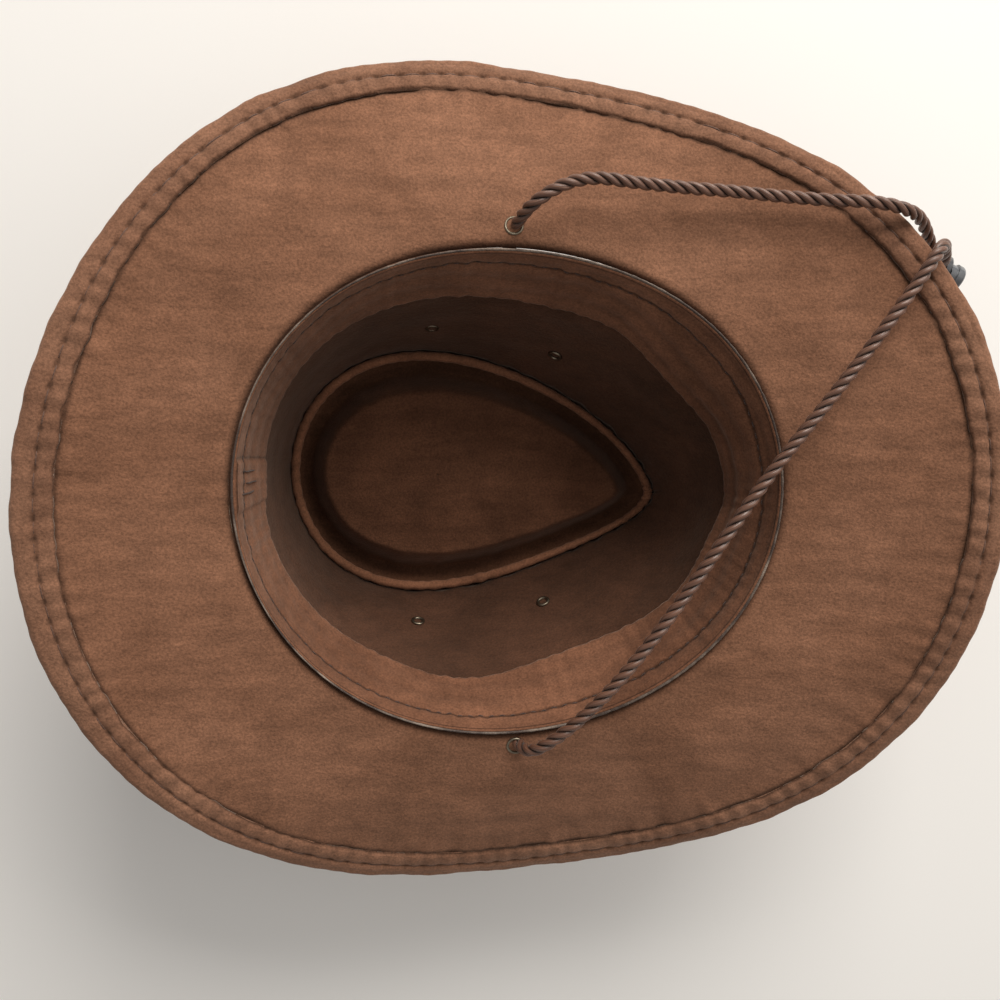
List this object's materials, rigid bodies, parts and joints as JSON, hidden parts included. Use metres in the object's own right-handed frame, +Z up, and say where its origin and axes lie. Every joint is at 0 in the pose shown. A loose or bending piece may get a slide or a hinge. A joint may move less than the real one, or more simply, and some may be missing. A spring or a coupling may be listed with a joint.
{
  "type": "cowboy hat",
  "caption": "Suede-cloth western hat resting on its crown, with a stiffened curled brim, dented teardrop crown, sweatband, vent eyelets and a twisted chin cord with a sliding cord lock.",
  "frame": {"origin": "on the surface the hat rests on, crown down, under the middle of the brim", "axes": "+Z up out of the head opening, +X towards the hat's front, -Y towards the wearer's left"},
  "size_m": [0.3405, 0.3125, 0.1271],
  "materials": {
    "suede": "brushed suede cloth",
    "board": "stiffened non-woven board",
    "sweatband": "brushed suede cloth",
    "thread": "sewing thread",
    "reed": "thin piping",
    "wire": "drawn wire",
    "strap": "matt imitation leather",
    "buckle": "aged, satin",
    "eyelet": "aged, satin",
    "cord": "satin twisted yarn",
    "lock": "moulded, glossy",
    "spring": "bright wire"
  },
  "bodies": {
    "hat": {"brim_under_cloth": "suede", "brim_stiffener": "board", "brim_top_cloth": "suede", "brim_hem": "suede", "brim_edge_wire": "wire", "hem_stitching": "thread", "crown_side": "suede", "crown_side_lining": "suede", "crown_tip": "suede", "crown_tip_lining": "suede", "tip_seam_piping": "suede", "sweatband": "sweatband", "sweatband_stitching": "thread", "sweatband_reed": "reed", "sweatband_tacks": "thread", "hat_band": "strap", "hat_band_buckle": "buckle", "hat_band_prong": "buckle", "hat_band_keeper": "strap", "brim_eyelet_left": "eyelet", "brim_eyelet_right": "eyelet", "brim_washer_left": "eyelet", "brim_washer_right": "eyelet", "chin_cord": "cord", "cord_knot_left": "cord", "cord_knot_right": "cord", "vent_eyelet_left_back": "eyelet", "vent_washer_left_back": "eyelet", "vent_eyelet_left_front": "eyelet", "vent_washer_left_front": "eyelet", "vent_eyelet_right_back": "eyelet", "vent_washer_right_back": "eyelet", "vent_eyelet_right_front": "eyelet", "vent_washer_right_front": "eyelet"},
    "lock": {"cord_lock_barrel": "lock", "cord_lock_spring": "spring"},
    "lock_button": {"cord_lock_plunger": "lock"}
  },
  "joints": [
    {"name": "lock_slide", "type": "slide", "parent": "hat", "child": "lock", "axis": [0, 0, -1], "range_m": [0, 0.025]},
    {"name": "lock_button_press", "type": "slide", "parent": "lock", "child": "lock_button", "axis": [-0.8821, 0.4711, 0], "range_m": [0, 0.003], "stiffness_N_per_m": 900, "springref_m": -0.001, "deforming": ["cord_lock_spring"]}
  ]
}
